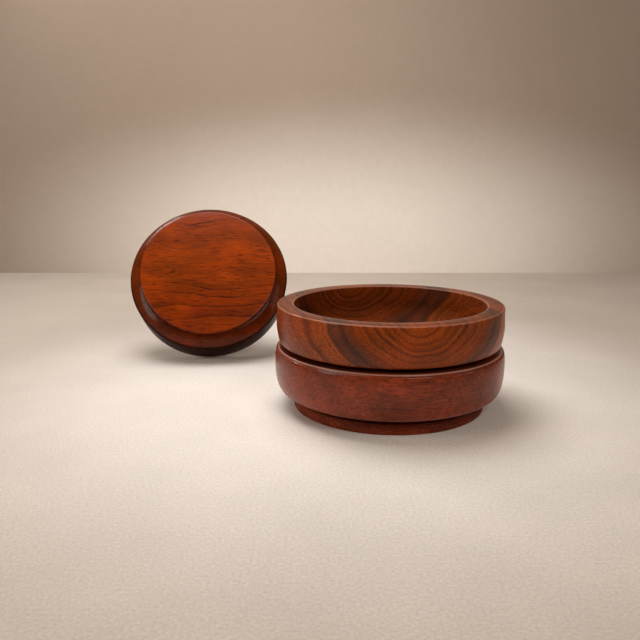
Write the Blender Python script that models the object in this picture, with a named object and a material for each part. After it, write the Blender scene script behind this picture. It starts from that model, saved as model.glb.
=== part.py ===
"""A turned wooden bowl for playing stones, its lid, and a second, smaller bowl.

The bowl stands on its foot at the origin. The lid lies on it hollow side up, with its plug in the
bowl's mouth. The second bowl leans back on the edge of its rim, with its foot to the front.
Metres, +Z up, -Y to the front. Every piece is one solid, turned about its own axis.
"""

import math

import bmesh
import bpy
from mathutils import Matrix, Vector

# Bowl: its outside, from the foot up, and its floor.
BOWL_RADIUS = 0.0863
BOWL_HEIGHT = 0.0461
BOWL_FOOT_INSET = 0.0141
BOWL_FOOT_HEIGHT = 0.0080
BOWL_NECK_HEIGHT = 0.0041
BOWL_NECK_DEPTH = 0.0020
BOWL_SHOULDER_WIDTH = 0.0099
BOWL_RIM_DROP = 0.0094
BOWL_RIM_TUCK = 0.0021
BOWL_FLOOR_THICKNESS = 0.0125

# Lid: turned to fit the bowl, a little inside the bowl's widest line.
LID_INSET = 0.0013
LID_HEIGHT = 0.0318
LID_SIDE_HEIGHT = 0.0139
LID_CORNER_WIDTH = 0.0028
LID_RIM_TUCK = 0.0005
LID_UNDERSIDE_RISE = 0.0031
LID_SEAT_WIDTH = 0.0026
LID_PLUG_DEPTH = 0.0050
LID_PLUG_CLEARANCE = 0.0006
LID_FLOOR_THICKNESS = 0.0078

# Second bowl: its outside, its floor, and where and how it leans.
SECOND_RADIUS = 0.0746
SECOND_HEIGHT = 0.0393
SECOND_FOOT_INSET = 0.0110
SECOND_FOOT_HEIGHT = 0.0051
SECOND_NECK_HEIGHT = 0.0015
SECOND_NECK_DEPTH = 0.0017
SECOND_UNDERSIDE_RISE = 0.0082
SECOND_RIM_TUCK = 0.0012
SECOND_FLOOR_THICKNESS = 0.0110
SECOND_LEAN = math.radians(34.2)
SECOND_TURN = math.radians(4.9)
SECOND_DIRECTION = math.radians(138.6)
SECOND_SPACING = 0.0495

# Alike on all three: the flat rim, the hollow's bottom corner and the broken edges.
RIM_WIDTH = 0.0125
HOLLOW_RADIUS = 0.0148
EDGE_RADIUS = 0.0007

# Roundness of a curve: 2 is an ellipse, more is squarer, less is nearer to a straight chamfer.
SHOULDER_POWER = 2.8
LID_CORNER_POWER = 1.6
UNDERSIDE_POWER = 1.3

# Flats around each piece, points in a curve and in a broken edge, and the gap where pieces touch.
FLATS = 64
CURVE_STEPS = 6
EDGE_STEPS = 2
TOUCH_GAP = 0.0003
WELD = 0.00001
SHARP_ANGLE = math.radians(35)


def curve(centre, size, start, end, steps=CURVE_STEPS, power=2.0):
    """Points (radius, height) on a superellipse of the given half sizes, between two angles."""
    points = []
    for step in range(steps + 1):
        angle = math.radians(start + (end - start) * step / steps)
        across = math.copysign(abs(math.cos(angle)) ** (2 / power), math.cos(angle))
        along = math.copysign(abs(math.sin(angle)) ** (2 / power), math.sin(angle))
        points.append((centre[0] + size[0] * across, centre[1] + size[1] * along))
    return points


def broken_edge(centre, start, end):
    """The small radius that takes the sharpness off an edge."""
    return curve(centre, (EDGE_RADIUS, EDGE_RADIUS), start, end, EDGE_STEPS)


def foot_and_neck(foot_radius, foot_height, neck_height, neck_depth):
    """The disc foot from its centre outwards, and the narrow neck cut in above it."""
    neck = foot_radius - neck_depth
    points = [(0.0, 0.0)]
    points += broken_edge((foot_radius - EDGE_RADIUS, EDGE_RADIUS), -90, 0)
    points += [(foot_radius, foot_height), (neck, foot_height), (neck, foot_height + neck_height)]
    return points


def rim_and_hollow(edge, top, floor):
    """The flat rim inwards from its outer edge, then the hollow down to the middle of its floor."""
    mouth = edge - RIM_WIDTH
    points = broken_edge((edge - EDGE_RADIUS, top - EDGE_RADIUS), 0, 90)
    points += broken_edge((mouth + EDGE_RADIUS, top - EDGE_RADIUS), 90, 180)
    corner = (mouth - HOLLOW_RADIUS, floor + HOLLOW_RADIUS)
    points += curve(corner, (HOLLOW_RADIUS, HOLLOW_RADIUS), 0, -90)
    points.append((0.0, floor))
    return points


def bowl_profile():
    """The bowl, from the middle of its foot, up its outside and down into its hollow."""
    underside = BOWL_FOOT_HEIGHT + BOWL_NECK_HEIGHT
    widest = BOWL_HEIGHT - BOWL_RIM_DROP
    edge = BOWL_RADIUS - BOWL_RIM_TUCK
    foot_radius = BOWL_RADIUS - BOWL_FOOT_INSET
    shoulder = (BOWL_SHOULDER_WIDTH, widest - underside)
    rim_side = (BOWL_RIM_TUCK, BOWL_RIM_DROP)
    points = foot_and_neck(foot_radius, BOWL_FOOT_HEIGHT, BOWL_NECK_HEIGHT, BOWL_NECK_DEPTH)
    points += curve((BOWL_RADIUS - BOWL_SHOULDER_WIDTH, widest), shoulder, -90, 0, power=SHOULDER_POWER)
    points += curve((edge, widest), rim_side, 0, 60, EDGE_STEPS)[1:]
    return points + rim_and_hollow(edge, BOWL_HEIGHT, BOWL_FLOOR_THICKNESS)


def lid_profile():
    """The lid, from the middle of its plug, along its underside, up and into its hollow."""
    radius = BOWL_RADIUS - LID_INSET
    bowl_mouth = BOWL_RADIUS - BOWL_RIM_TUCK - RIM_WIDTH
    plug_radius = bowl_mouth - LID_PLUG_CLEARANCE
    seat = BOWL_HEIGHT + TOUCH_GAP
    plug = seat - LID_PLUG_DEPTH
    top = seat + LID_HEIGHT
    side = top - LID_SIDE_HEIGHT
    corner = (LID_CORNER_WIDTH, side - seat - LID_UNDERSIDE_RISE)
    points = [(0.0, plug)]
    points += broken_edge((plug_radius - EDGE_RADIUS, plug + EDGE_RADIUS), -90, 0)
    points += [(plug_radius, seat), (plug_radius + LID_SEAT_WIDTH, seat)]
    points += curve((radius - LID_CORNER_WIDTH, side), corner, -90, 0, power=LID_CORNER_POWER)
    return points + rim_and_hollow(radius - LID_RIM_TUCK, top, plug + LID_FLOOR_THICKNESS)


def second_profile():
    """The second bowl, upright, from the middle of its foot to the middle of its hollow."""
    foot_radius = SECOND_RADIUS - SECOND_FOOT_INSET
    underside = SECOND_FOOT_HEIGHT + SECOND_NECK_HEIGHT
    slope = (SECOND_FOOT_INSET, SECOND_UNDERSIDE_RISE)
    corner = underside + SECOND_UNDERSIDE_RISE
    points = foot_and_neck(foot_radius, SECOND_FOOT_HEIGHT, SECOND_NECK_HEIGHT, SECOND_NECK_DEPTH)
    points += curve((foot_radius, corner), slope, -90, 0, power=UNDERSIDE_POWER)
    edge = SECOND_RADIUS - SECOND_RIM_TUCK
    return points + rim_and_hollow(edge, SECOND_HEIGHT, SECOND_FLOOR_THICKNESS)


def wood(name, colour, roughness):
    """Lacquered wood of one colour."""
    material = bpy.data.materials.new(name)
    material.use_nodes = True
    shader = material.node_tree.nodes["Principled BSDF"]
    shader.inputs["Base Color"].default_value = (*colour, 1.0)
    shader.inputs["Roughness"].default_value = roughness
    shader.inputs["Metallic"].default_value = 0.0
    return material


def turned(name, profile, material):
    """One closed solid, turned from its profile about the Z axis."""
    shape = bmesh.new()
    points = [shape.verts.new((radius, 0.0, height)) for radius, height in profile]
    edges = [shape.edges.new(pair) for pair in zip(points, points[1:])]
    bmesh.ops.spin(shape, geom=points + edges, cent=(0.0, 0.0, 0.0), axis=(0.0, 0.0, 1.0),
                   angle=math.tau, steps=FLATS)
    bmesh.ops.remove_doubles(shape, verts=shape.verts, dist=WELD)
    bmesh.ops.recalc_face_normals(shape, faces=shape.faces)
    mesh = bpy.data.meshes.new(name)
    shape.to_mesh(mesh)
    shape.free()
    mesh.materials.append(material)
    mesh.shade_smooth()
    mesh.set_sharp_from_angle(angle=SHARP_ANGLE)
    piece = bpy.data.objects.new(name, mesh)
    bpy.context.scene.collection.objects.link(piece)
    return piece


def lean(piece, profile):
    """Tip a piece back, turn it to the front and stand it on its lowest edge beside the bowl."""
    below_foot = max(height * math.sin(SECOND_LEAN) + radius * math.cos(SECOND_LEAN)
                     for radius, height in profile)
    distance = BOWL_RADIUS + SECOND_RADIUS + SECOND_SPACING
    across = distance * math.cos(SECOND_DIRECTION)
    back = distance * math.sin(SECOND_DIRECTION)
    tip = Matrix.Rotation(-math.pi / 2 - SECOND_LEAN, 4, "X")
    turn = Matrix.Rotation(SECOND_TURN, 4, "Z")
    piece.matrix_world = Matrix.Translation(Vector((across, back, below_foot))) @ turn @ tip


def build():
    """All three pieces, each where it stands."""
    for old in list(bpy.data.objects):
        bpy.data.objects.remove(old)
    turned("bowl", bowl_profile(), wood("bowl_wood", (0.105, 0.026, 0.013), 0.38))
    turned("lid", lid_profile(), wood("lid_wood", (0.145, 0.042, 0.018), 0.38))
    second = turned("second_bowl", second_profile(), wood("second_bowl_wood", (0.27, 0.07, 0.014), 0.4))
    lean(second, second_profile())


build()
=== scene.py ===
"""A turned go stone bowl with its lid, and a second, smaller bowl leaning on its rim."""

import math

import bpy
from mathutils import Euler, Matrix, Vector


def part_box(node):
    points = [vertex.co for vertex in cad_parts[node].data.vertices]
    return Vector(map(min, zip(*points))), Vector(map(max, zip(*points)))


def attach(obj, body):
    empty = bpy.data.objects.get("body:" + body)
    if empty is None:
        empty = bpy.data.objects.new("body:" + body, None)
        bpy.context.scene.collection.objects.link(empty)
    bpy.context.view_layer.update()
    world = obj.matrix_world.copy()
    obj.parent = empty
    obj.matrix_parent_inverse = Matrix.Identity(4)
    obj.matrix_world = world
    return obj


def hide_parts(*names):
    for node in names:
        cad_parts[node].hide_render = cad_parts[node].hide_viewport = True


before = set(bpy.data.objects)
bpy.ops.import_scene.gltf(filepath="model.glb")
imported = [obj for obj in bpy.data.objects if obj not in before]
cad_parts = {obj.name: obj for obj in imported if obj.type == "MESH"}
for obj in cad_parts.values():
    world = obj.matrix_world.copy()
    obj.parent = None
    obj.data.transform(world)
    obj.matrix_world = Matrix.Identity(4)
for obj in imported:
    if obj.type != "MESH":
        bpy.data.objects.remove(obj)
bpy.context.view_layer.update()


# The bowl. One block of reddish hardwood, turned on a lathe: a disc foot, a narrow neck cut in
# above it, a rounded shoulder and a flat rim with broken edges, then lacquered to a satin gloss.

MM = 0.001
TURNED_FLATS = 288
CURVE_STEPS = 28
EDGE_STEPS = 6
WELD = 0.002 * MM

RIM_WIDTH = 12.5 * MM
HOLLOW_RADIUS = 14.8 * MM
EDGE_RADIUS = 0.7 * MM
RIM_EDGE_RADIUS = 1.3 * MM

bowl_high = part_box("bowl")[1]
BOWL_RADIUS = bowl_high[0]
BOWL_HEIGHT = bowl_high[2]
BOWL_FOOT_INSET = 14.1 * MM
BOWL_FOOT_HEIGHT = 8.0 * MM
BOWL_NECK_HEIGHT = 4.1 * MM
BOWL_NECK_DEPTH = 2.0 * MM
BOWL_SHOULDER_WIDTH = 9.9 * MM
BOWL_RIM_DROP = 9.4 * MM
BOWL_RIM_TUCK = 2.1 * MM
BOWL_RIM_TURN = 60
BOWL_FLOOR_THICKNESS = 12.5 * MM
SHOULDER_POWER = 2.8


def curve(centre, size, start, end, steps=CURVE_STEPS, power=2.0):
    """Points (radius, height) on a superellipse of the given half sizes, between two angles."""
    points = []
    for step in range(steps + 1):
        angle = math.radians(start + (end - start) * step / steps)
        across = math.copysign(abs(math.cos(angle)) ** (2 / power), math.cos(angle))
        along = math.copysign(abs(math.sin(angle)) ** (2 / power), math.sin(angle))
        points.append((centre[0] + size[0] * across, centre[1] + size[1] * along))
    return points


def broken_edge(centre, start, end, radius=EDGE_RADIUS):
    """The small radius that takes the sharpness off an edge."""
    return curve(centre, (radius, radius), start, end, EDGE_STEPS)


def foot_and_neck(foot_radius, foot_height, neck_height, neck_depth, edge=EDGE_RADIUS):
    """The disc foot from its centre outwards, and the narrow neck cut in above it."""
    neck = foot_radius - neck_depth
    points = [(0.0, 0.0)]
    points += broken_edge((foot_radius - edge, edge), -90, 0, edge)
    points += [(foot_radius, foot_height), (neck, foot_height), (neck, foot_height + neck_height)]
    return points


def rim_and_hollow(edge, top, floor):
    """The flat rim inwards from its outer edge, then the hollow down to the middle of its floor."""
    mouth = edge - RIM_WIDTH
    points = broken_edge((edge - RIM_EDGE_RADIUS, top - RIM_EDGE_RADIUS), 0, 90, RIM_EDGE_RADIUS)
    points += broken_edge((mouth + EDGE_RADIUS, top - EDGE_RADIUS), 90, 180)
    corner = (mouth - HOLLOW_RADIUS, floor + HOLLOW_RADIUS)
    points += curve(corner, (HOLLOW_RADIUS, HOLLOW_RADIUS), 0, -90)
    points.append((0.0, floor))
    return points


def add(tree, kind, inputs=(), links=(), **settings):
    """Adds a node with its settings, its input values and the links into it. A socket goes by its
    name, or by its number where a node has several of one name."""
    node = tree.nodes.new(kind)
    for name, value in settings.items():
        setattr(node, name, value)
    for key, value in dict(inputs).items():
        node.inputs[key].default_value = value
    for key, source in dict(links).items():
        tree.links.new(source, node.inputs[key])
    return node


def lathe_tree():
    """Geometry Nodes that turn a profile, a chain of points in the XZ plane, about the Z axis."""
    tree = bpy.data.node_groups.new("lathe", "GeometryNodeTree")
    tree.is_modifier = True
    sockets = tree.interface
    sockets.new_socket("Profile", in_out="INPUT", socket_type="NodeSocketGeometry")
    for name, kind in (("Flats", "Int"), ("Profile points", "Int"), ("Weld", "Float"),
                       ("Wood", "Material")):
        sockets.new_socket(name, in_out="INPUT", socket_type="NodeSocket" + kind)
    sockets.new_socket("Piece", in_out="OUTPUT", socket_type="NodeSocketGeometry")
    given = add(tree, "NodeGroupInput").outputs
    rings = add(tree, "ShaderNodeMath", {1: 1}, {0: given["Flats"]}, operation="ADD")
    sheet = add(tree, "GeometryNodeMeshGrid", links={
        "Vertices X": rings.outputs[0], "Vertices Y": given["Profile points"]})
    index = add(tree, "GeometryNodeInputIndex")
    point = add(tree, "ShaderNodeMath", links={0: index.outputs[0], 1: given["Profile points"]},
                operation="MODULO")
    column = add(tree, "ShaderNodeMath", links={0: index.outputs[0], 1: given["Profile points"]},
                 operation="DIVIDE")
    ring = add(tree, "ShaderNodeMath", links={0: column.outputs[0]}, operation="FLOOR")
    flat = add(tree, "ShaderNodeMath", {0: math.tau}, {1: given["Flats"]}, operation="DIVIDE")
    angle = add(tree, "ShaderNodeMath", links={0: ring.outputs[0], 1: flat.outputs[0]},
                operation="MULTIPLY")
    position = add(tree, "GeometryNodeInputPosition")
    outline = add(tree, "GeometryNodeSampleIndex", data_type="FLOAT_VECTOR", links={
        "Geometry": given["Profile"], "Value": position.outputs[0], "Index": point.outputs[0]})
    place = add(tree, "ShaderNodeVectorRotate", rotation_type="Z_AXIS", links={
        "Vector": outline.outputs[0], "Angle": angle.outputs[0]})
    turned = add(tree, "GeometryNodeSetPosition", links={
        "Geometry": sheet.outputs["Mesh"], "Position": place.outputs[0]})
    closed = add(tree, "GeometryNodeMergeByDistance", links={
        "Geometry": turned.outputs[0], "Distance": given["Weld"]})
    smooth = add(tree, "GeometryNodeSetShadeSmooth", links={"Geometry": closed.outputs[0]})
    real = add(tree, "GeometryNodeRealizeInstances", links={"Geometry": smooth.outputs[0]})
    finished = add(tree, "GeometryNodeSetMaterial", links={
        "Geometry": real.outputs[0], "Material": given["Wood"]})
    add(tree, "NodeGroupOutput", links={"Piece": finished.outputs[0]})
    return tree


LATHE = lathe_tree()


def turned(name, profile, wood, place=Matrix()):
    """One closed piece: the profile turned by the lathe tree, then put in its place."""
    chain = bpy.data.meshes.new(name + "_profile")
    edges = [(step, step + 1) for step in range(len(profile) - 1)]
    chain.from_pydata([(radius, 0.0, height) for radius, height in profile], edges, [])
    blank = bpy.data.objects.new(name + "_profile", chain)
    bpy.context.scene.collection.objects.link(blank)
    lathe = blank.modifiers.new("lathe", "NODES")
    lathe.node_group = LATHE
    values = {"Flats": TURNED_FLATS, "Profile points": len(profile), "Weld": WELD, "Wood": wood}
    for item in LATHE.interface.items_tree:
        if item.name in values and item.in_out == "INPUT":
            lathe[item.identifier] = values[item.name]
    scene_now = bpy.context.evaluated_depsgraph_get()
    mesh = bpy.data.meshes.new_from_object(blank.evaluated_get(scene_now))
    mesh.transform(place)
    mesh.name = name
    piece = bpy.data.objects.new(name, mesh)
    bpy.context.scene.collection.objects.link(piece)
    bpy.data.objects.remove(blank)
    return piece


def linear(hex_colour):
    """An sRGB hex colour as linear red, green, blue and alpha."""
    parts = [int(hex_colour[place:place + 2], 16) / 255 for place in (1, 3, 5)]
    return [part / 12.92 if part <= 0.04045 else ((part + 0.055) / 1.055) ** 2.4
            for part in parts] + [1.0]


WHITE = (1.0, 1.0, 1.0, 1.0)
LACQUER_IOR = 1.5
UNDERSIDE_WIDTH = 10 * MM
GLOSS_DULL = 0.06
GLOSS_BRIGHT = -0.04
WAXED_ROUGHER = 0.30
TOOL_MARK_WIDTH = 1.8 * MM
TOOL_MARK_DEPTH = 0.35
GRAIN_DEPTH = 0.05 * MM


def lacquered_wood(name, pith, along, growth, reach, look, foot, mouth, floor, top,
                   place=Matrix()):
    """Solid hardwood, turned, sanded fine and lacquered. The growth rings run round a pith line, so
    one pattern goes through the whole piece: long lines on the sides of the log, arcs across its
    ends. Fine lines, fibres and open pores lie along the pith, under a satin lacquer film. The
    foot, mouth, floor and top of the upright piece say where it is bare, where shade is painted
    darker and where a highlight is painted paler."""
    material = bpy.data.materials.new(name)
    material.use_nodes = True
    tree = material.node_tree
    shader = tree.nodes["Principled BSDF"]
    coords = add(tree, "ShaderNodeTexCoord").outputs["Object"]
    turn = (place.to_3x3() @ Vector(along)).to_track_quat("X", "Z").to_euler()
    log, upright = (
        add(tree, "ShaderNodeMapping", {"Location": origin, "Rotation": angles},
            {"Vector": coords}, vector_type="TEXTURE").outputs[0]
        for origin, angles in ((place @ Vector(pith), turn),
                               (place.to_translation(), place.to_euler())))

    # Noises stretched along the pith, each with its detail and its roughness.
    noise = {}
    for key, detail, roughness in (("wander", 2.0, 0.45), ("ripple", 2.0, 0.5), ("fade", 2.0, 0.5),
                                   ("fibre", 3.0, 0.65), ("pore", 1.0, 0.5), ("cloud", 2.0, 0.5)):
        length, width = look[key + "_size"]
        stretched = add(tree, "ShaderNodeMapping",
                        {"Scale": (1 / length, 1 / width, 1 / width)}, {"Vector": log})
        noise[key] = add(tree, "ShaderNodeTexNoise",
                         {"Scale": 1.0, "Detail": detail, "Roughness": roughness},
                         {"Vector": stretched.outputs[0]}).outputs

    # The distance from the pith, bent by the two slow noises and pressed oval.
    bent = log
    for key in ("wander", "ripple"):
        sway = 2 * look[key]
        bent = add(tree, "ShaderNodeVectorMath", {1: (0.0, sway, sway)},
                   {0: noise[key]["Color"], 2: bent}, operation="MULTIPLY_ADD").outputs[0]
    back = -(look["wander"] + look["ripple"])
    flat = 1 / look["oval"]
    across = add(tree, "ShaderNodeVectorMath", {1: (0.0, flat, 1.0), 2: (0.0, back * flat, back)},
                 {0: bent}, operation="MULTIPLY_ADD").outputs[0]
    round_pith = add(tree, "ShaderNodeVectorMath", links={0: across}, operation="LENGTH")
    sides = add(tree, "ShaderNodeSeparateXYZ", links={0: across})
    radius = add(tree, "ShaderNodeMath", {1: look["off_centre"]},
                 {0: sides.outputs["Y"], 2: round_pith.outputs["Value"]},
                 operation="MULTIPLY_ADD").outputs[0]

    # The growth rings, fading here and there to one even tone.
    share = add(tree, "ShaderNodeMath", {1: reach}, {0: radius}, operation="DIVIDE")
    rings = add(tree, "ShaderNodeValToRGB", links={"Fac": share.outputs[0]})
    ramp = rings.color_ramp
    ramp.interpolation = "EASE"
    ramp.elements.remove(ramp.elements[1])
    for index, (distance, colour) in enumerate(growth):
        stop = ramp.elements[0] if index == 0 else ramp.elements.new(distance * MM / reach)
        stop.position = distance * MM / reach
        stop.color = linear(colour)
    fade = add(tree, "ShaderNodeMapRange", {1: 0.38, 2: 0.62, 3: 0.0, 4: look["fade"]},
               {0: noise["fade"][0]})
    rings = add(tree, "ShaderNodeMix", {7: linear(look["tone"])},
                {0: fade.outputs[0], 6: rings.outputs[0]}, data_type="RGBA")

    # Fine lines, fibres, pores and clouds: each noise between two levels, from dark to light.
    count = add(tree, "ShaderNodeMath", {1: look["fine_ring"]}, {0: radius}, operation="DIVIDE")
    lines = add(tree, "ShaderNodeTexNoise", {"Scale": 1.0, "Detail": 3.0, "Roughness": 0.6},
                {"W": count.outputs[0]}, noise_dimensions="1D")
    line, streak, open_pore, patch = (
        add(tree, "ShaderNodeMapRange", {1: low, 2: high, 3: dark, 4: light}, {0: pattern})
        for pattern, low, high, dark, light in (
            (lines.outputs[0], 0.36, 0.60, look["line_shade"], 0.98),
            (noise["fibre"][0], 0.30, 0.70, look["fibre_shade"], 1.18),
            (noise["pore"][0], 0.31, 0.41, look["pore_shade"], 1.0),
            (noise["cloud"][0], 0.32, 0.68, look["cloud_shade"], 1.15)))

    # Zones of the turned shape, by distance from its axis or by height: where each starts and
    # ends, and its value before and after. The first four paint shade: next to the foot, on the
    # underside, on the rim's outer side and on its top; the last three place a painted highlight
    # along the rim's outer and inner edges.
    height = add(tree, "ShaderNodeSeparateXYZ", links={0: upright}).outputs["Z"]
    plan = add(tree, "ShaderNodeVectorMath", {1: (1.0, 1.0, 0.0)}, {0: upright},
               operation="MULTIPLY")
    out = add(tree, "ShaderNodeVectorMath", links={0: plan.outputs[0]},
              operation="LENGTH").outputs["Value"]
    edge = mouth + RIM_WIDTH
    underside = look["side_painted_shade"] / look["neck_painted_shade"]
    corner, side, rim_side, rim_top_painted_shade, outer, inner, upper = (
        add(tree, "ShaderNodeMapRange", {1: start, 2: end, 3: before, 4: after}, {0: measure})
        for measure, start, end, before, after in (
            (out, foot - 0.6 * MM, foot + 0.2 * MM, 1.0, look["neck_painted_shade"]),
            (out, foot, foot + UNDERSIDE_WIDTH, 1.0, underside),
            # Painted shade on the rim's outer side, for the shadow near the floor.
            (out, edge - 0.6 * MM, edge + 0.2 * MM, 1.0, look["rim_side"]),
            (height, top - 0.5 * MM, top - 0.1 * MM, 1.0, look["rim_top_painted_shade"]),
            (out, edge - 1.6 * MM, edge - 0.7 * MM, 0.0, 1.0),
            (out, mouth + 0.7 * MM, mouth + 1.3 * MM, 1.0, 0.0),
            (height, top - 1.1 * MM, top - 0.5 * MM, 0.0, look["edge_highlight"])))
    # Painted shade in the neck's groove, where the shadow falls.
    groove_middle, groove_half = look["groove"]
    groove = add(tree, "ShaderNodeMath", {1: groove_middle, 2: groove_half}, {0: height},
                 operation="COMPARE")
    within = add(tree, "ShaderNodeMath", {1: mouth + 0.2 * MM}, {0: out}, operation="LESS_THAN")
    above = add(tree, "ShaderNodeMath", {1: floor - 0.5 * MM}, {0: height},
                operation="GREATER_THAN")
    hollow = add(tree, "ShaderNodeMath", links={0: within.outputs[0], 1: above.outputs[0]},
                 operation="MULTIPLY")
    footing = add(tree, "ShaderNodeMath", {1: look["bare_foot"]}, {0: height},
                  operation="LESS_THAN")
    bare = add(tree, "ShaderNodeMath", links={0: hollow.outputs[0], 1: footing.outputs[0]},
               operation="MAXIMUM").outputs[0]
    # Painted shade, each by its factor: in the neck's groove, deep in the hollow and on the foot.
    painted_groove_shade, painted_hollow_shade, painted_foot_shade = (
        add(tree, "ShaderNodeMath", {1: look[key] - 1.0, 2: 1.0}, {0: zone.outputs[0]},
            operation="MULTIPLY_ADD")
        for zone, key in ((groove, "groove_painted_shade"), (hollow, "hollow_painted_shade"),
                          (footing, "foot_painted_shade")))

    # The colour: rings and tint, darkened by every pattern and by painted shade, with a highlight
    # painted paler along the edges.
    shade = line.outputs[0]
    for part in (streak, open_pore, patch, corner, side, rim_side, rim_top_painted_shade, painted_groove_shade, painted_hollow_shade, painted_foot_shade):
        shade = add(tree, "ShaderNodeMath", links={0: shade, 1: part.outputs[0]},
                    operation="MULTIPLY").outputs[0]
    tint = add(tree, "ShaderNodeMix", {6: WHITE, 7: linear(look["tint"])}, {0: noise["cloud"][0]},
               data_type="RGBA")
    stained = add(tree, "ShaderNodeMix", {0: 1.0}, {6: rings.outputs[2], 7: tint.outputs[2]},
                  data_type="RGBA", blend_type="MULTIPLY")
    wood = add(tree, "ShaderNodeVectorMath", links={0: stained.outputs[2], 1: shade},
               operation="MULTIPLY")
    # A highlight painted paler along the rim's outer and inner edges, near its top.
    edges = add(tree, "ShaderNodeMath", links={0: outer.outputs[0], 1: inner.outputs[0]},
                operation="MAXIMUM")
    edge_highlight = add(tree, "ShaderNodeMath", links={0: edges.outputs[0], 1: upper.outputs[0]},
                 operation="MULTIPLY")
    with_edge_highlight = add(tree, "ShaderNodeMix", {7: linear(look["edge_highlight_tone"])},
                  {0: edge_highlight.outputs[0], 6: wood.outputs[0]}, data_type="RGBA")
    tree.links.new(with_edge_highlight.outputs[2], shader.inputs["Base Color"])

    # The finish: lacquer outside, only wax in the hollow and on a bare foot, fibres and pores that
    # stand in fine relief, and the faint rings the lathe tool leaves.
    gloss = add(tree, "ShaderNodeMapRange", {1: 0.3, 2: 0.7, 3: look["rough"] + GLOSS_DULL,
                4: look["rough"] + GLOSS_BRIGHT}, {0: noise["fibre"][0]})
    waxed = add(tree, "ShaderNodeMath", {1: WAXED_ROUGHER}, {0: bare, 2: gloss.outputs[0]},
                operation="MULTIPLY_ADD")
    tree.links.new(waxed.outputs[0], shader.inputs["Roughness"])
    film = add(tree, "ShaderNodeMath", {1: -look["coat"], 2: look["coat"]}, {0: bare},
               operation="MULTIPLY_ADD")
    # The coat is thinned on the rim's side and top by the same factors that paint shade there.
    for part in (rim_side, rim_top_painted_shade):
        film = add(tree, "ShaderNodeMath", links={0: film.outputs[0], 1: part.outputs[0]},
                   operation="MULTIPLY")
    tree.links.new(film.outputs[0], shader.inputs["Coat Weight"])
    grain = add(tree, "ShaderNodeMath", links={0: streak.outputs[0], 1: open_pore.outputs[0]},
                operation="MULTIPLY")
    turns = add(tree, "ShaderNodeMath", {1: TOOL_MARK_WIDTH}, {0: out}, operation="DIVIDE")
    marks = add(tree, "ShaderNodeTexNoise", {"Scale": 1.0, "Detail": 0.0}, {"W": turns.outputs[0]},
                noise_dimensions="1D")
    surface = add(tree, "ShaderNodeMath", {1: TOOL_MARK_DEPTH},
                  {0: marks.outputs[0], 2: grain.outputs[0]}, operation="MULTIPLY_ADD")
    relief = add(tree, "ShaderNodeBump", {"Strength": look["relief"], "Distance": GRAIN_DEPTH},
                 {"Height": surface.outputs[0]})
    tree.links.new(relief.outputs[0], shader.inputs["Normal"])
    shader.inputs["IOR"].default_value = LACQUER_IOR
    shader.inputs["Specular IOR Level"].default_value = look["shine"]
    shader.inputs["Coat Roughness"].default_value = look["coat_rough"]
    shader.inputs["Coat IOR"].default_value = LACQUER_IOR
    return material


def bowl_profile():
    """The bowl, from the middle of its foot, up its outside and down into its hollow."""
    underside = BOWL_FOOT_HEIGHT + BOWL_NECK_HEIGHT
    widest = BOWL_HEIGHT - BOWL_RIM_DROP
    edge = BOWL_RADIUS - BOWL_RIM_TUCK
    foot_radius = BOWL_RADIUS - BOWL_FOOT_INSET
    shoulder = (BOWL_SHOULDER_WIDTH, widest - underside)
    rim_side = (BOWL_RIM_TUCK, BOWL_RIM_DROP)
    points = foot_and_neck(foot_radius, BOWL_FOOT_HEIGHT, BOWL_NECK_HEIGHT, BOWL_NECK_DEPTH)
    points += curve((BOWL_RADIUS - BOWL_SHOULDER_WIDTH, widest), shoulder, -90, 0,
                    power=SHOULDER_POWER)
    points += curve((edge, widest), rim_side, 0, BOWL_RIM_TURN, EDGE_STEPS)[1:]
    return points + rim_and_hollow(edge, BOWL_HEIGHT, BOWL_FLOOR_THICKNESS)


# Mahogany, turned, stained reddish and lacquered: an even red brown with short level streaks under
# a satin shine. Shade is painted in the neck's groove, on the waxed foot, in the hollow and on the
# rim's top, and a highlight is painted paler along the rim's edges.
# Its pores and fibres are drawn 0.8 and 1.4 mm wide, coarser than in the real wood, so they show.
BOWL_GROWTH = ((0, "#a6522e"), (30, "#9a4828"), (50, "#a6522e"), (72, "#984628"), (96, "#a4502c"),
               (130, "#984628"))
MAHOGANY = {
    "tone": "#94462a", "fade": 0.5, "fade_size": (60 * MM, 20 * MM),
    "wander": 5 * MM, "wander_size": (110 * MM, 42 * MM),
    "ripple": 0.4 * MM, "ripple_size": (63 * MM, 7 * MM), "oval": 1.0, "off_centre": 0.0,
    "fine_ring": 3.4 * MM, "line_shade": 0.97,
    "fibre_size": (14 * MM, 1.4 * MM), "fibre_shade": 0.48,
    "pore_size": (6 * MM, 0.8 * MM), "pore_shade": 0.48,
    "cloud_size": (33.6 * MM, 14 * MM), "cloud_shade": 0.60, "tint": "#f2cabc",
    "neck_painted_shade": 1.0, "side_painted_shade": 1.0, "rim_side": 1.0, "rim_top_painted_shade": 0.55,
    "groove": (BOWL_FOOT_HEIGHT + BOWL_NECK_HEIGHT / 2, BOWL_NECK_HEIGHT / 2 + 0.1 * MM),
    "groove_painted_shade": 0.35, "hollow_painted_shade": 0.62, "bare_foot": BOWL_FOOT_HEIGHT, "foot_painted_shade": 0.80,
    "edge_highlight": 0.60, "edge_highlight_tone": "#cc9884",
    "rough": 0.34, "shine": 0.10, "coat": 0.30, "coat_rough": 0.12, "relief": 0.25}
BOWL_PITH = (0.0, 60 * MM, -70 * MM)
BOWL_PITH_ALONG = (1.0, 0.06, 0.02)
BOWL_PITH_REACH = 160 * MM
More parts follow.
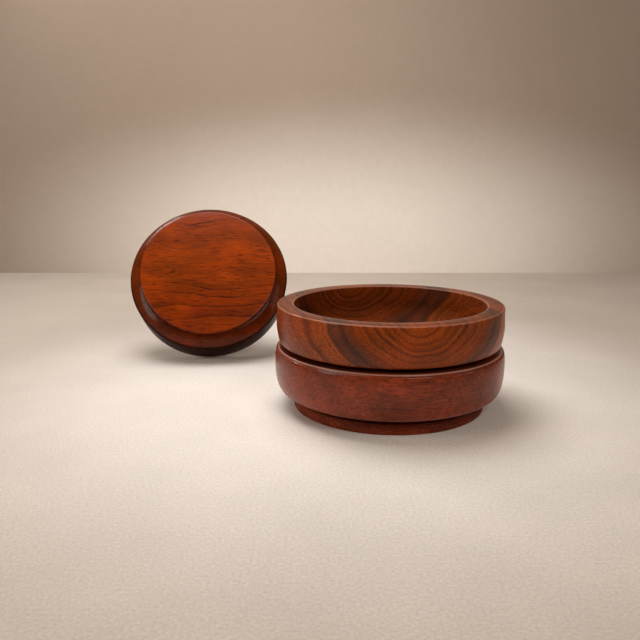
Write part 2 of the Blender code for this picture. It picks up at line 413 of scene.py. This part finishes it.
bowl_wood = lacquered_wood("lacquered_mahogany_bowl", BOWL_PITH, BOWL_PITH_ALONG, BOWL_GROWTH,
                           BOWL_PITH_REACH, MAHOGANY, BOWL_RADIUS - BOWL_FOOT_INSET,
                           BOWL_RADIUS - BOWL_RIM_TUCK - RIM_WIDTH, BOWL_FLOOR_THICKNESS,
                           BOWL_HEIGHT)
bowl = turned("bowl_turned", bowl_profile(), bowl_wood)
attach(bowl, "bowl")
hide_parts("bowl")


# The lid. Turned from one block of rosewood and laid hollow side up in the bowl's mouth, the way
# players hold captured stones. Its low foot plugs the mouth, and its underside rises away from
# the bowl's rim, which leaves the thin dark gap between the two. Nothing fixes it.

lid_low, lid_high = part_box("lid")
LID_RADIUS = lid_high[0]
LID_TOP = lid_high[2]
LID_SIDE_HEIGHT = 13.9 * MM
LID_CORNER_WIDTH = 2.8 * MM
LID_RIM_TUCK = 0.5 * MM
LID_UNDERSIDE_RISE = 3.1 * MM
LID_SEAT_WIDTH = 2.6 * MM
LID_PLUG_DEPTH = 5.0 * MM
LID_PLUG_CLEARANCE = 0.6 * MM
LID_FLOOR_THICKNESS = 7.8 * MM
LID_CORNER_POWER = 1.6


def lid_profile():
    """The lid, from the middle of its plug, along its underside, up and into its hollow."""
    plug_radius = BOWL_RADIUS - BOWL_RIM_TUCK - RIM_WIDTH - LID_PLUG_CLEARANCE
    plug = lid_low[2]
    seat = plug + LID_PLUG_DEPTH
    side = LID_TOP - LID_SIDE_HEIGHT
    corner = (LID_CORNER_WIDTH, side - seat - LID_UNDERSIDE_RISE)
    points = [(0.0, plug)]
    points += broken_edge((plug_radius - EDGE_RADIUS, plug + EDGE_RADIUS), -90, 0)
    points += [(plug_radius, seat), (plug_radius + LID_SEAT_WIDTH, seat)]
    points += curve((LID_RADIUS - LID_CORNER_WIDTH, side), corner, -90, 0, power=LID_CORNER_POWER)
    return points + rim_and_hollow(LID_RADIUS - LID_RIM_TUCK, LID_TOP, plug + LID_FLOOR_THICKNESS)


# Rosewood, turned and lacquered, cut so that the heart of the log runs front to back just over the
# rim: orange brown wood with dark rings, which show as nested arcs on the front and the far wall of
# the hollow. Its pores and fibres are drawn 0.8 and 1.1 mm wide, coarser than real, so they show.
# The grey brown band from 35 to 43 mm out is a painted dark reflection, drawn as a wide ring.
LID_GROWTH = ((0, "#b8601c"), (8, "#b85c1a"), (9.5, "#8c4415"), (10.7, "#b85c1a"), (14, "#a6501a"),
              (15.2, "#b85a1a"), (18, "#84400f"), (19.2, "#b4581a"), (22, "#84401a"),
              (23.2, "#b0561a"), (26.5, "#8e4518"), (27.8, "#ac541a"), (33, "#9c4a1a"),
              (35, "#74442a"), (39, "#6a3c2c"), (43, "#74442a"), (45, "#b85e20"), (51, "#ac541c"),
              (53.3, "#6c3618"), (55, "#ac541c"), (62, "#964a1c"), (65, "#743816"),
              (67.5, "#a04e1c"), (84, "#88441c"), (100, "#a04e1e"))
BELOW_ALL = -1.0
NO_GROOVE = (BELOW_ALL, 0.1 * MM)
ROSEWOOD = {
    "tone": "#a44e1a", "fade": 0.35, "fade_size": (36 * MM, 15 * MM),
    "wander": 3.5 * MM, "wander_size": (90 * MM, 34 * MM),
    "ripple": 0.6 * MM, "ripple_size": (54 * MM, 6 * MM), "oval": 1.4, "off_centre": 0.165,
    "fine_ring": 2.6 * MM, "line_shade": 0.66,
    "fibre_size": (20 * MM, 1.1 * MM), "fibre_shade": 0.58,
    "pore_size": (7 * MM, 0.8 * MM), "pore_shade": 0.42,
    "cloud_size": (52.8 * MM, 22 * MM), "cloud_shade": 0.76, "tint": "#f2c6a8",
    # Painted shade on the rim's top and in the hollow, and a highlight painted paler along the
    # rim's edges.
    "neck_painted_shade": 1.0, "side_painted_shade": 1.0, "rim_side": 1.0, "rim_top_painted_shade": 0.62,
    "groove": NO_GROOVE, "groove_painted_shade": 1.0, "hollow_painted_shade": 0.62,
    "bare_foot": BELOW_ALL, "foot_painted_shade": 1.0, "edge_highlight": 0.24, "edge_highlight_tone": "#e2a488",
    "rough": 0.36, "shine": 0.05, "coat": 0.30, "coat_rough": 0.12, "relief": 0.25}
LID_PITH = (10 * MM, -85 * MM, 81 * MM)
LID_PITH_ALONG = (-38.0, 157.0, -1.0)
LID_PITH_REACH = 130 * MM
lid_wood = lacquered_wood("lacquered_rosewood_lid", LID_PITH, LID_PITH_ALONG, LID_GROWTH,
                          LID_PITH_REACH, ROSEWOOD, LID_RADIUS,
                          LID_RADIUS - LID_RIM_TUCK - RIM_WIDTH,
                          lid_low[2] + LID_FLOOR_THICKNESS, LID_TOP)
lid = turned("lid_turned", lid_profile(), lid_wood)
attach(lid, "lid")
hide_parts("lid")


# The second bowl. The same design a little smaller, turned from one block of rosewood: a broad disc
# foot with a soft edge, a shallow neck and an underside that slopes out to straight sides. It is
# loose, and leans back on the edge of its rim with its foot to the front.

SECOND_RADIUS = 74.6 * MM
SECOND_HEIGHT = 39.3 * MM
SECOND_FOOT_INSET = 11.0 * MM
SECOND_FOOT_HEIGHT = 5.1 * MM
SECOND_NECK_HEIGHT = 1.5 * MM
SECOND_NECK_DEPTH = 1.7 * MM
SECOND_UNDERSIDE_RISE = 8.2 * MM
SECOND_FOOT_EDGE = 1.5 * MM
SECOND_RIM_TUCK = 1.2 * MM
SECOND_FLOOR_THICKNESS = 11.0 * MM
UNDERSIDE_POWER = 1.3
SECOND_LEAN = math.radians(34.2)
SECOND_TURN = math.radians(4.9)


def second_profile():
    """The second bowl, upright, from the middle of its foot to the middle of its hollow."""
    foot_radius = SECOND_RADIUS - SECOND_FOOT_INSET
    underside = SECOND_FOOT_HEIGHT + SECOND_NECK_HEIGHT
    slope = (SECOND_FOOT_INSET, SECOND_UNDERSIDE_RISE)
    corner = underside + SECOND_UNDERSIDE_RISE
    points = foot_and_neck(foot_radius, SECOND_FOOT_HEIGHT, SECOND_NECK_HEIGHT, SECOND_NECK_DEPTH,
                           SECOND_FOOT_EDGE)
    points += curve((foot_radius, corner), slope, -90, 0, power=UNDERSIDE_POWER)
    edge = SECOND_RADIUS - SECOND_RIM_TUCK
    return points + rim_and_hollow(edge, SECOND_HEIGHT, SECOND_FLOOR_THICKNESS)


def leaning_place():
    """Where the second bowl lies: tipped back, turned to the front, in the middle of its box."""
    turn = Euler((-math.pi / 2 - SECOND_LEAN, 0.0, SECOND_TURN)).to_matrix()
    skin = []
    for radius, height in second_profile():
        for step in range(TURNED_FLATS):
            angle = math.tau * step / TURNED_FLATS
            skin.append(turn @ Vector((radius * math.cos(angle), radius * math.sin(angle), height)))
    low, high = (Vector(corner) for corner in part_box("second_bowl"))
    middle = Vector([(min(p[i] for p in skin) + max(p[i] for p in skin)) / 2 for i in range(3)])
    return Matrix.Translation((low + high) / 2 - middle) @ turn.to_4x4()


# The same rosewood, cut along the log, so its rings run level across the foot as long wavy lines
# that come and go. Shade is painted round the neck, on the underside and on the rim's side, and
# its pores and fibres are drawn 0.9 and 1.2 mm wide, coarser than real, so that they show as
# short dark strokes.
SECOND_GROWTH = ((0, "#a04404"), (34, "#a64703"), (38, "#984004"), (41, "#a64602"),
                 (47.5, "#9c4104"), (49.2, "#481a04"), (50.2, "#a04204"), (55, "#943b04"),
                 (57.4, "#5a2204"), (58.4, "#963c05"), (65, "#883505"), (66.5, "#582004"),
                 (67.8, "#8c3708"), (75, "#7c300a"), (77, "#582206"), (78.5, "#82350b"),
                 (95, "#783210"))
LONG_GRAIN = dict(
    ROSEWOOD, tone="#9c4204", fade=0.8, wander=10 * MM, wander_size=(58 * MM, 32 * MM),
    ripple=1.1 * MM, oval=1.0, off_centre=0.0, fine_ring=3.2 * MM, line_shade=0.84,
    fibre_size=(14 * MM, 1.2 * MM), fibre_shade=0.66, pore_size=(9 * MM, 0.9 * MM),
    # Painted shade round the neck, on the underside and on the rim's side.
    pore_shade=0.40, cloud_shade=0.68, neck_painted_shade=0.38, side_painted_shade=0.58, rim_side=0.20,
    coat=0.22, coat_rough=0.14)
SECOND_PITH = (0.0, -20 * MM, 34 * MM)
SECOND_PITH_ALONG = (1.0, 0.03, 0.0)
SECOND_PITH_REACH = 110 * MM
SECOND_PLACE = leaning_place()
second_wood = lacquered_wood("lacquered_rosewood_second", SECOND_PITH, SECOND_PITH_ALONG,
                             SECOND_GROWTH, SECOND_PITH_REACH, LONG_GRAIN,
                             SECOND_RADIUS - SECOND_FOOT_INSET,
                             SECOND_RADIUS - SECOND_RIM_TUCK - RIM_WIDTH, SECOND_FLOOR_THICKNESS,
                             SECOND_HEIGHT, SECOND_PLACE)
second_bowl = turned("second_bowl_turned", second_profile(), second_wood, SECOND_PLACE)
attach(second_bowl, "second_bowl")
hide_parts("second_bowl")


# The studio. A camera a little above the rim, a plain floor of smoothed plaster with a plain wall
# behind it, a large softbox overhead, weaker ones to the front and sides, and a spot on the wall.

CAMERA_LENS = 39.35
CAMERA_SENSOR = 36.0
CAMERA_PLACE = (-0.0523, -0.5173, 0.1766)
CAMERA_DROP = math.radians(12.25)
WALL_BACK = 0.68
WALL_HEIGHT = 3.0
ROOM_HALF = 4.0
ROOM_GLOW = "#f0d8c0"
ROOM_GLOW_STRENGTH = 0.13
SPOT_CONE = math.radians(110)
PAINT_SHINE = 0.2

camera_data = bpy.data.cameras.new("camera")
camera_data.lens = CAMERA_LENS
camera_data.sensor_width = CAMERA_SENSOR
camera = bpy.data.objects.new("camera", camera_data)
camera.location = CAMERA_PLACE
camera.rotation_euler = (math.pi / 2 - CAMERA_DROP, 0.0, 0.0)
bpy.context.scene.collection.objects.link(camera)
bpy.context.scene.camera = camera


def painted(name, look):
    """A plain plastered surface: soft clouds in its tone, a fine grit, and a painted pool of light:
    a darker, warmer colour painted towards its edges as shade, from one distance to another from
    its middle."""
    material = bpy.data.materials.new(name)
    material.use_nodes = True
    tree = material.node_tree
    shader = tree.nodes["Principled BSDF"]
    coords = add(tree, "ShaderNodeTexCoord").outputs["Object"]

    # Two noises, each from its darkest to its lightest tone.
    tones = []
    for key, detail, roughness in (("cloud", 5.0, 0.6), ("grit", 2.0, 0.5)):
        strength, width = look[key]
        noise = add(tree, "ShaderNodeTexNoise",
                    {"Scale": 1 / width, "Detail": detail, "Roughness": roughness},
                    {"Vector": coords})
        tones.append(add(tree, "ShaderNodeMapRange",
                         {1: 0.25, 2: 0.75, 3: 1 - strength, 4: 1 + strength},
                         {0: noise.outputs[0]}).outputs[0])
    both = add(tree, "ShaderNodeMath", links=dict(enumerate(tones)), operation="MULTIPLY")

    # The painted pool of light: the distance from the middle, counted steeper in height on a wall.
    offset = add(tree, "ShaderNodeVectorMath", {1: look["middle"]}, {0: coords},
                 operation="SUBTRACT")
    steep = add(tree, "ShaderNodeVectorMath", {1: (1.0, 1.0, look["rise"])},
                {0: offset.outputs[0]}, operation="MULTIPLY")
    away = add(tree, "ShaderNodeVectorMath", links={0: steep.outputs[0]}, operation="LENGTH")
    near, far = look["painted_light_pool"]
    fade = add(tree, "ShaderNodeMapRange", {1: near, 2: far, 3: 0.0, 4: 1.0},
               {0: away.outputs["Value"]}, interpolation_type="SMOOTHSTEP")
    painted_light_pool = add(tree, "ShaderNodeMix", {6: linear(look["colour"]), 7: linear(look["edge"])},
                  {0: fade.outputs[0]}, data_type="RGBA")
    paint = add(tree, "ShaderNodeVectorMath", links={0: painted_light_pool.outputs[2], 1: both.outputs[0]},
                operation="MULTIPLY")
    tree.links.new(paint.outputs[0], shader.inputs["Base Color"])
    shader.inputs["Roughness"].default_value = look["roughness"]
    shader.inputs["Specular IOR Level"].default_value = PAINT_SHINE
    return material


def panel(name, corners, material):
    """One flat sheet of the studio, from its corners."""
    mesh = bpy.data.meshes.new(name)
    mesh.from_pydata(corners, [], [tuple(range(len(corners)))])
    mesh.materials.append(material)
    sheet = bpy.data.objects.new(name, mesh)
    bpy.context.scene.collection.objects.link(sheet)
    return sheet


def lamp(name, kind, place, target, power, colour, **shape):
    """A studio lamp of this kind and shape, turned to its target."""
    data = bpy.data.lights.new(name, kind)
    for key, value in shape.items():
        setattr(data, key, value)
    data.energy = power
    data.color = linear(colour)[:3]
    light = bpy.data.objects.new(name, data)
    light.location = place
    light.rotation_euler = (Vector(target) - Vector(place)).to_track_quat("-Z", "Y").to_euler()
    bpy.context.scene.collection.objects.link(light)


# Plaster, trowelled smooth and painted matt, with a painted pool of light: pale and warm under the
# pieces and painted browner towards the edges as shade. The grit is drawn 1.7 mm wide on the floor
# and 9 mm on the wall, so that it shows.
floor_paint = painted("smoothed_plaster_floor", {
    "colour": "#ece3da", "edge": "#b6a99c", "middle": (-0.03, 0.02, 0.0), "painted_light_pool": (0.06, 0.40),
    "rise": 1.0, "cloud": (0.065, 90 * MM), "grit": (0.12, 1.7 * MM), "roughness": 0.7})
wall_paint = painted("brushed_plaster_wall", {
    "colour": "#e9dfd4", "edge": "#9c8a7a", "middle": (0.0, WALL_BACK, 0.03),
    "painted_light_pool": (0.12, 0.74), "rise": 2.6, "cloud": (0.033, 260 * MM), "grit": (0.022, 9 * MM),
    "roughness": 0.9})
panel("floor", [(-ROOM_HALF, -ROOM_HALF, 0), (ROOM_HALF, -ROOM_HALF, 0), (ROOM_HALF, WALL_BACK, 0),
                (-ROOM_HALF, WALL_BACK, 0)], floor_paint)
panel("wall", [(-ROOM_HALF, WALL_BACK, 0), (ROOM_HALF, WALL_BACK, 0),
               (ROOM_HALF, WALL_BACK, WALL_HEIGHT), (-ROOM_HALF, WALL_BACK, WALL_HEIGHT)],
      wall_paint)

# Each softbox with its place, what it faces, its size, its power and its colour.
for name, place, target, size, power, colour in (
        ("overhead_softbox", (-0.22, 0.24, 0.85), (-0.10, 0.03, 0.0), (0.66, 0.66), 6.7, "#ffffff"),
        ("left_softbox", (-0.95, -0.45, 0.45), (-0.02, 0.0, 0.05), (0.45, 0.7), 3.7, "#fff4ea"),
        ("right_softbox", (1.0, -0.30, 0.45), (0.02, 0.0, 0.05), (0.45, 0.7), 1.1, "#fff4ea"),
        ("front_softbox", (0.42, -0.82, 0.85), (0.0, 0.0, 0.02), (0.6, 0.45), 3.7, "#fff8f0"),
        ("back_strip", (-0.55, 0.60, 0.62), (-0.1, 0.05, 0.05), (0.6, 0.035), 1.6, "#ffffff")):
    lamp(name, "AREA", place, target, power, colour, shape="ELLIPSE", size=size[0], size_y=size[1])
lamp("wall_spot", "SPOT", (-0.01, 0.16, 0.36), (-0.01, WALL_BACK, 0.03), 2.6, "#ffffff",
     spot_size=SPOT_CONE, spot_blend=1.0, shadow_soft_size=0.12)

world = bpy.data.worlds.new("studio")
world.use_nodes = True
background = world.node_tree.nodes["Background"].inputs
background["Color"].default_value = linear(ROOM_GLOW)
background["Strength"].default_value = ROOM_GLOW_STRENGTH
bpy.context.scene.world = world
bpy.context.scene.view_settings.view_transform = "Standard"
